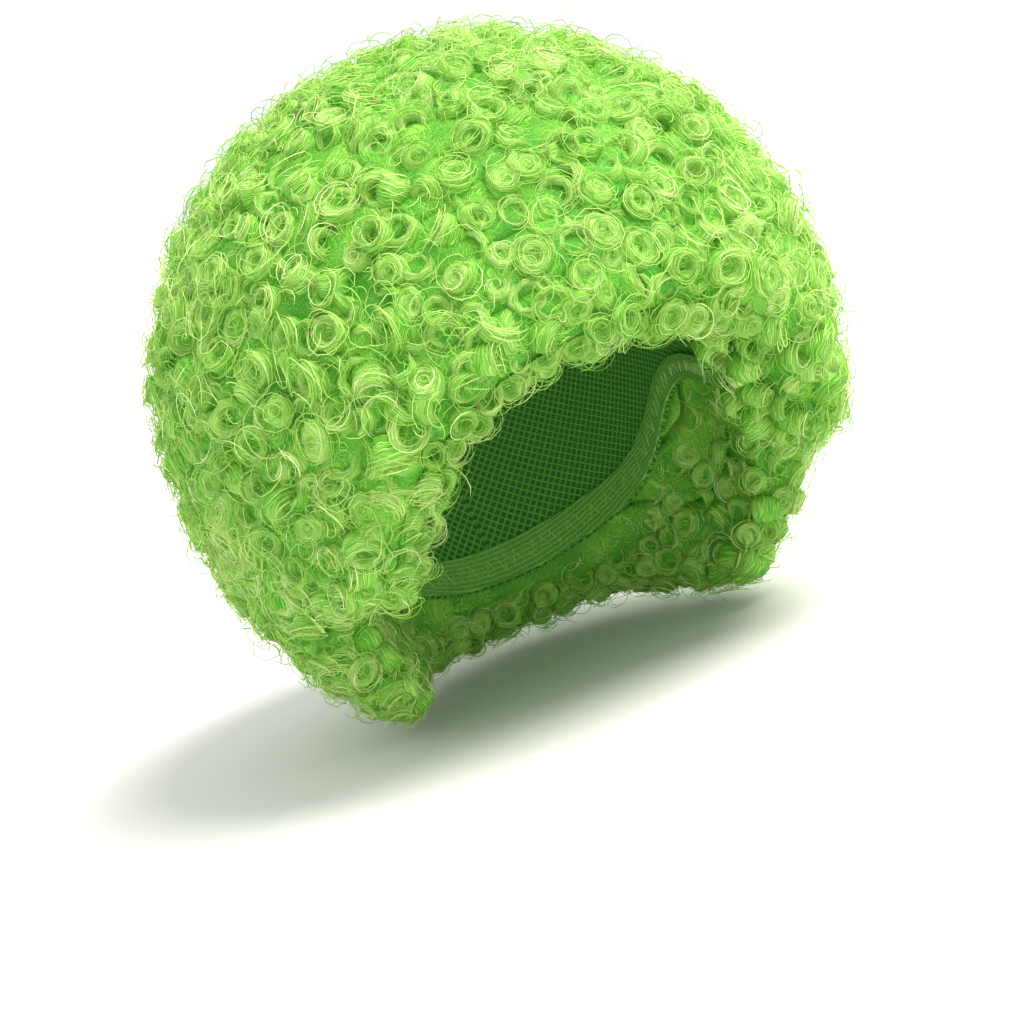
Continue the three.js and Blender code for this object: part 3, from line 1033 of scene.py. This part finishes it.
# Cap: a stretched net with the wefts' tapes sewn in rows, and an elastic edge
CAP_SIDES = 96
CAP_RINGS = 48
BAND_ANGLE = BAND_WIDTH / (ROOM_LENGTH / 2)
TAPE_WIDTH = 0.0055
TAPE_WALL = 0.0006
TAPE_SIDES = 96
LAST_TAPE = 7
THREAD = 0.00028
TAPE_LIFT = 0.00005
STITCHES = 96
STITCH_FILLED = 0.62
STITCH_SHIFTS = (-0.016, 0.016)
ZIGZAGS = 300
ZIGZAG_SHARES = (0.24, 0.70)
PUCKER = 0.00022
PUCKERS, SECOND_PUCKERS = 97, 61
PUCKER_DRIFT, DRIFT_WAVES = 0.8, 13
SECOND_SHARE, SECOND_START = 0.5, 1.7
BAND_SIDES = 240
BAND_CUTS = 5
CLOTH_SMOOTH_ANGLE = math.radians(50)


def select_only(piece):
    bpy.ops.object.select_all(action="DESELECT")
    piece.select_set(True)
    bpy.context.view_layer.objects.active = piece


def move_points(piece, moved):
    """Puts a piece's points at new places, given by a function of the old ones."""
    mesh = piece.data
    points = np.empty(len(mesh.vertices) * 3)
    mesh.vertices.foreach_get("co", points)
    mesh.vertices.foreach_set("co", moved(points.reshape(-1, 3)).ravel())
    mesh.update()


def give_wall(piece, wall, offset):
    select_only(piece)
    solid = piece.modifiers.new("wall", "SOLIDIFY")
    solid.thickness = wall
    solid.offset = offset
    solid.use_even_offset = False
    bpy.ops.object.modifier_apply(modifier=solid.name)


def angles_of(points):
    """Angle from the pole and azimuth of points about the inner form's centre."""
    out = unit(points - ROOM_CENTRE)
    polar = np.arccos(np.clip(out @ POLE, -1, 1))
    return polar, np.arctan2(out @ SIDE, out @ FRONT)


def net_shell():
    """Half a ball, stretched over the inner form down to the cap's edge."""
    bpy.ops.object.select_all(action="DESELECT")
    bpy.ops.mesh.primitive_uv_sphere_add(
        segments=CAP_SIDES, ring_count=CAP_RINGS, radius=ROOM_WIDTH / 2,
        location=ROOM_CENTRE, rotation=(-POLE_LEAN, 0, 0),
    )
    shell = bpy.context.object
    bpy.ops.object.transform_apply(location=True, rotation=True, scale=True)
    below = [
        face.index for face in shell.data.polygons
        if (np.array(face.center) - ROOM_CENTRE) @ POLE < 0
    ]
    remove_faces(shell, below)

    def stretched(points):
        polar, azimuth = angles_of(points)
        polar = polar / (math.pi / 2) * cap_edge(azimuth)
        return place(polar, azimuth, reach(INNER_FORM, polar, azimuth))

    move_points(shell, stretched)
    give_wall(shell, CAP_WALL, 1)
    return shell


def remove_faces(piece, numbers):
    select_only(piece)
    bpy.ops.object.mode_set(mode="EDIT")
    bpy.ops.mesh.select_mode(type="FACE")
    bpy.ops.mesh.select_all(action="DESELECT")
    bpy.ops.object.mode_set(mode="OBJECT")
    for number in numbers:
        piece.data.polygons[number].select = True
    bpy.ops.object.mode_set(mode="EDIT")
    bpy.ops.mesh.delete(type="FACE")
    bpy.ops.object.mode_set(mode="OBJECT")


def hoop(name, sides, cuts, width_from, width_to, level):
    """An open tube laid round the cap between two angles, at a level over its inner form."""
    bpy.ops.object.select_all(action="DESELECT")
    bpy.ops.mesh.primitive_cylinder_add(
        vertices=sides, radius=ROOM_WIDTH / 2, depth=BAND_WIDTH, end_fill_type="NOTHING",
        location=ROOM_CENTRE, rotation=(-POLE_LEAN, 0, 0),
    )
    piece = bpy.context.object
    piece.name = name
    bpy.ops.object.transform_apply(location=True, rotation=True, scale=True)
    bpy.ops.object.mode_set(mode="EDIT")
    bpy.ops.mesh.select_all(action="DESELECT")
    bpy.ops.mesh.select_mode(type="EDGE")
    bpy.ops.object.mode_set(mode="OBJECT")
    rails(piece)
    bpy.ops.object.mode_set(mode="EDIT")
    if cuts:
        bpy.ops.mesh.subdivide_edgering(number_cuts=cuts, smoothness=0)
    bpy.ops.object.mode_set(mode="OBJECT")

    def laid(points):
        _, azimuth = angles_of(points)
        height = (points - ROOM_CENTRE) @ POLE
        share = 0.5 - height / BAND_WIDTH
        polar = width_from(azimuth) + (width_to(azimuth) - width_from(azimuth)) * share
        return place(polar, azimuth, reach(INNER_FORM, polar, azimuth) + level(azimuth, share))

    move_points(piece, laid)
    return piece


def rails(piece):
    """Selects the edges that run from one rim of a hoop to the other."""
    mesh = piece.data
    for edge in mesh.edges:
        a, b = (np.array(mesh.vertices[k].co) for k in edge.vertices)
        edge.select = bool(abs((a - b) @ POLE) > BAND_WIDTH / 2)


def weft_tape(boundary):
    half = TAPE_WIDTH / ROOM_LENGTH
    tape = hoop(
        f"weft_tape_{boundary}", TAPE_SIDES, 0,
        lambda azimuth: boundary_angle(boundary, azimuth) - half,
        lambda azimuth: boundary_angle(boundary, azimuth) + half,
        lambda azimuth, share: TAPE_LIFT,
    )
    give_wall(tape, TAPE_WALL, -1)
    return tape


def thread_mesh(name, starts, ends, up):
    """Short closed stitches from point to point, as one mesh."""
    along = unit(ends - starts)
    side = np.cross(along, up)
    corners = []
    for end in (starts, ends):
        for k in range(STRAND_SIDES):
            angle = math.pi / 2 + k * 2 * math.pi / STRAND_SIDES
            corners.append(end + (side * math.cos(angle) + up * math.sin(angle)) * THREAD)
    points = np.stack(corners, axis=1).reshape(-1, 3)
    sides, caps = tube_faces(2)
    stride = 2 * STRAND_SIDES
    faces = repeat_faces(sides, len(starts), stride).tolist()
    faces += repeat_faces(caps, len(starts), stride).tolist()
    mesh = bpy.data.meshes.new(name)
    mesh.from_pydata(points.tolist(), [], faces)
    stitches = bpy.data.objects.new(name, mesh)
    scene.collection.objects.link(stitches)
    return stitches


def running_stitches(boundary, shift):
    """A row of stitches along a tape, each filling part of its share of the row."""
    step = 2 * math.pi / STITCHES
    ends = []
    for at in (0, STITCH_FILLED):
        azimuth = (np.arange(STITCHES) + at) * step
        polar = boundary_angle(boundary, azimuth) + shift
        ends.append(place(polar, azimuth, reach(INNER_FORM, polar, azimuth) - TAPE_WALL))
    up = unit(ROOM_CENTRE - ends[0])
    return thread_mesh(f"stitches_{boundary}", ends[0], ends[1], up)


def zigzag_stitches():
    """The thread that goes to and fro across the elastic edge."""
    azimuth = np.arange(ZIGZAGS) / ZIGZAGS * 2 * math.pi
    share = np.where(np.arange(ZIGZAGS) % 2, *ZIGZAG_SHARES)
    polar = cap_edge(azimuth) - BAND_ANGLE * share
    depth = reach(INNER_FORM, polar, azimuth) - SEWING_GAP - BAND_WALL
    places = place(polar, azimuth, depth)
    following = np.roll(places, -1, axis=0)
    return thread_mesh("zigzag_thread", places, following, unit(ROOM_CENTRE - places))


def band_ripple(azimuth, share):
    """Puckers of the elastic, deepest along its middle."""
    swing = np.sin(azimuth * PUCKERS + PUCKER_DRIFT * np.sin(azimuth * DRIFT_WAVES))
    swing = swing + SECOND_SHARE * np.sin(azimuth * SECOND_PUCKERS + SECOND_START)
    return PUCKER * swing * (0.5 + np.sin(share * math.pi))


def joined(pieces_to_join, name):
    bpy.ops.object.select_all(action="DESELECT")
    for piece in pieces_to_join:
        piece.select_set(True)
    bpy.context.view_layer.objects.active = pieces_to_join[0]
    bpy.ops.object.join()
    piece = bpy.context.object
    piece.name = name
    return piece


def lay_flat_uv(piece):
    """Writes each corner's way round and way down, in metres, as the piece's own uv map."""
    mesh = piece.data
    points = np.empty(len(mesh.vertices) * 3)
    mesh.vertices.foreach_get("co", points)
    polar, azimuth = angles_of(points.reshape(-1, 3))
    uv_of_point = np.stack([azimuth, polar], axis=1) * ROOM_LENGTH / 2
    corners = np.empty(len(mesh.loops), dtype=np.int32)
    mesh.loops.foreach_get("vertex_index", corners)
    uv = uv_of_point[corners]
    turn = math.pi * ROOM_LENGTH
    first = np.empty(len(mesh.polygons), dtype=np.int32)
    size = np.empty(len(mesh.polygons), dtype=np.int32)
    mesh.polygons.foreach_get("loop_start", first)
    mesh.polygons.foreach_get("loop_total", size)
    of_first = np.repeat(uv[first, 0], size)
    uv[:, 0] -= np.round((uv[:, 0] - of_first) / turn) * turn
    while mesh.uv_layers:
        mesh.uv_layers.remove(mesh.uv_layers[0])
    mesh.uv_layers.new(name="laid_flat").data.foreach_set("uv", uv.astype(np.float32).ravel())


def woven(name, first, painted_shade_between, crossed, pitch, thin, wide):
    """Material of crossing threads: diagonal for the net, square for tape and elastic."""
    material, nodes, links, shader = new_material(name)
    slant = 45 if crossed else 0
    scale = (math.pi / pitch[0], math.pi / pitch[1], 1)
    apart = nodes.new("ShaderNodeSeparateXYZ")
    cloth = turned(nodes, links, laid_out(nodes, "laid_flat"), (0, 0, slant), scale)
    links.new(cloth, apart.inputs["Vector"])
    threads = []
    for way in ("X", "Y"):
        wave = worked_out(nodes, links, "SINE", apart.outputs[way])
        threads.append(worked_out(nodes, links, "ABSOLUTE", wave))
    between = nodes.new("ShaderNodeMapRange")
    between.inputs["From Min"].default_value = thin
    between.inputs["From Max"].default_value = wide
    links.new(worked_out(nodes, links, "MINIMUM", *threads), between.inputs["Value"])
    depth = between.outputs["Result"]
    # Between the threads the colour goes over to painted shade, darker where the cloth lies deeper
    coloured(nodes, links, shader, depth, [(0.0, first), (1.0, painted_shade_between)])
    raised(nodes, links, shader, depth, strength=0.7, distance=0.0005).invert = True
    shader.inputs["Roughness"].default_value = 0.75
    return material


def spun_thread(name, light, dark):
    material, nodes, links, shader = new_material(name)
    where = nodes.new("ShaderNodeTexCoord").outputs["Object"]
    twist = noise_at(nodes, links, where, 1500.0).outputs["Fac"]
    coloured(nodes, links, shader, twist, [(0.3, dark), (0.7, light)])
    shader.inputs["Roughness"].default_value = 0.6
    return material


def make_cap():
    # The net's holes are coloured as painted shade seen through them
    net = woven(
        "cap_net", first=(0.15, 0.50, 0.055), painted_shade_between=(0.030, 0.17, 0.020), crossed=True,
        pitch=(0.0026, 0.0026), thin=0.22, wide=0.6,
    )
    tape = woven(
        "weft_tape", first=(0.30, 0.66, 0.12), painted_shade_between=(0.16, 0.44, 0.06), crossed=False,
        pitch=(0.0009, 0.0009), thin=0.1, wide=0.7,
    )
    thread = spun_thread("sewing_thread", light=(0.50, 0.82, 0.20), dark=(0.28, 0.60, 0.10))
    parts = [net_shell()]
    parts[0].data.materials.append(net)
    for boundary in range(1, LAST_TAPE + 1):
        rows = [weft_tape(boundary)]
        rows[0].data.materials.append(tape)
        for shift in STITCH_SHIFTS:
            rows.append(running_stitches(boundary, shift))
            rows[-1].data.materials.append(thread)
        parts += rows
    cap = joined(parts, "cap_net_shell")
    finish_cloth(cap, "cap")


def make_elastic_band():
    ribbed = woven(
        "elastic", first=(0.27, 0.62, 0.12), painted_shade_between=(0.12, 0.38, 0.05), crossed=False,
        pitch=(0.0011, 0.0019), thin=0.15, wide=0.8,
    )
    thread = spun_thread("zigzag_thread", light=(0.55, 0.86, 0.26), dark=(0.34, 0.66, 0.14))
    band = hoop(
        "elastic_edge", BAND_SIDES, BAND_CUTS,
        lambda azimuth: cap_edge(azimuth) - BAND_ANGLE,
        cap_edge,
        lambda azimuth, share: -SEWING_GAP + band_ripple(azimuth, share),
    )
    give_wall(band, BAND_WALL, -1)
    band.data.materials.append(ribbed)
    stitches = zigzag_stitches()
    stitches.data.materials.append(thread)
    finish_cloth(joined([band, stitches], "elastic_edge"), "elastic_band")


def finish_cloth(piece, node):
    select_only(piece)
    bpy.ops.object.mode_set(mode="EDIT")
    bpy.ops.mesh.select_all(action="SELECT")
    bpy.ops.mesh.normals_make_consistent(inside=False)
    bpy.ops.object.mode_set(mode="OBJECT")
    bpy.ops.object.shade_smooth_by_angle(angle=CLOTH_SMOOTH_ANGLE)
    lay_flat_uv(piece)
    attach(piece, "root")
    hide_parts(node)


make_cap()
make_elastic_band()

# Pale floor under the wig
FLOOR_SIZE = 40
FLOOR_LEVEL = -0.212
bpy.ops.mesh.primitive_plane_add(size=FLOOR_SIZE, location=(0, 0, FLOOR_LEVEL))
floor = bpy.context.object
floor.name = "floor"
floor_material, _, _, shader = new_material("pale_floor")
shader.inputs["Base Color"].default_value = (0.76, 0.76, 0.75, 1)
shader.inputs["Roughness"].default_value = 0.9
floor.data.materials.append(floor_material)


def sun(name, azimuth, height, softness, strength, colour):
    data = bpy.data.lights.new(name, "SUN")
    data.color = colour
    data.angle = math.radians(softness)
    data.energy = strength
    light = bpy.data.objects.new(name, data)
    scene.collection.objects.link(light)
    out = bearing(math.radians(azimuth), math.radians(height))
    light.rotation_euler = out.to_track_quat("Z", "Y").to_euler()


sun("key_light", azimuth=50, height=57, softness=30, strength=4.2, colour=(1.0, 0.95, 0.87))
world = bpy.data.worlds.new("studio")
scene.world = world
world.use_nodes = True
world.node_tree.nodes["Background"].inputs["Color"].default_value = (1, 1, 1, 1)
world.node_tree.nodes["Background"].inputs["Strength"].default_value = 1.02
